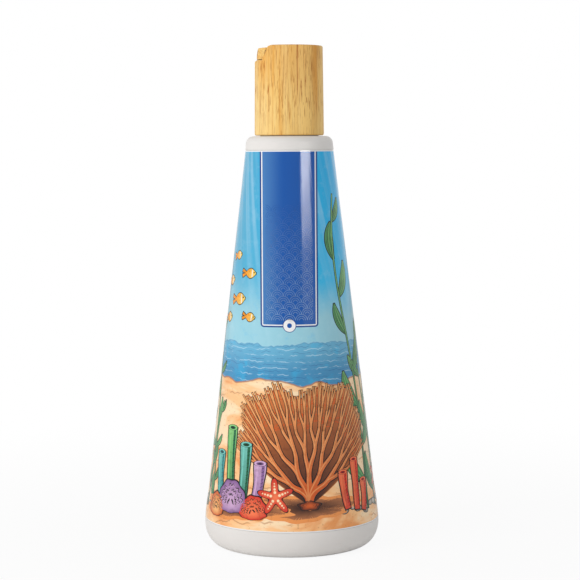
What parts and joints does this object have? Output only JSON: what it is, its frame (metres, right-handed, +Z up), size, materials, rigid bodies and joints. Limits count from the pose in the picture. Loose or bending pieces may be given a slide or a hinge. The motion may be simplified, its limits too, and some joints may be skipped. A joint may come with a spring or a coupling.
{
  "type": "shampoo bottle",
  "caption": "Cone-shaped plastic shampoo bottle with a wrap-round printed film and a tall wood-look screw cap whose press disc tilts to pour.",
  "frame": {"origin": "centre of the foot ring, on the surface that the bottle stands on", "axes": "+Z up along the bottle's axis, -Y out of the printed front of the label, -X roughly towards the side that pours"},
  "size_m": [0.0826, 0.0826, 0.2349],
  "materials": {
    "bottle_plastic": "white blow-moulded plastic, satin",
    "printed_film": "glossy printed film, sky blue over sand",
    "wood_look_plastic": "moulded plastic with a printed honey wood grain under satin lacquer",
    "inner_plastic": "natural moulded plastic",
    "gasket_foam": "expanded foam sheet"
  },
  "bodies": {
    "bottle": {"bottle_body": "bottle_plastic", "label_sleeve": "printed_film"},
    "washer": {"neck_gasket": "gasket_foam"},
    "cap": {"outer_cap": "wood_look_plastic", "inner_cap": "inner_plastic"},
    "disc": {"press_disc": "wood_look_plastic"}
  },
  "joints": [
    {"name": "cap_climb", "type": "slide", "parent": "bottle", "child": "washer", "axis": [0, 0, 1], "range_m": [0, 0.00636]},
    {"name": "cap_turn", "type": "hinge", "parent": "washer", "child": "cap", "pos_m": [0, 0, 0.2], "axis": [0, 0, 1], "range_deg": [0, 540]},
    {"name": "disc_tilt", "type": "hinge", "parent": "cap", "child": "disc", "pos_m": [0.00149, 0.00018, 0.2294], "axis": [-0.1219, 0.9925, 0], "range_deg": [0, 22]}
  ],
  "couplings": [
    {"joint": "cap_climb", "follows": "cap_turn", "m_per_rad": 0.00067376}
  ]
}
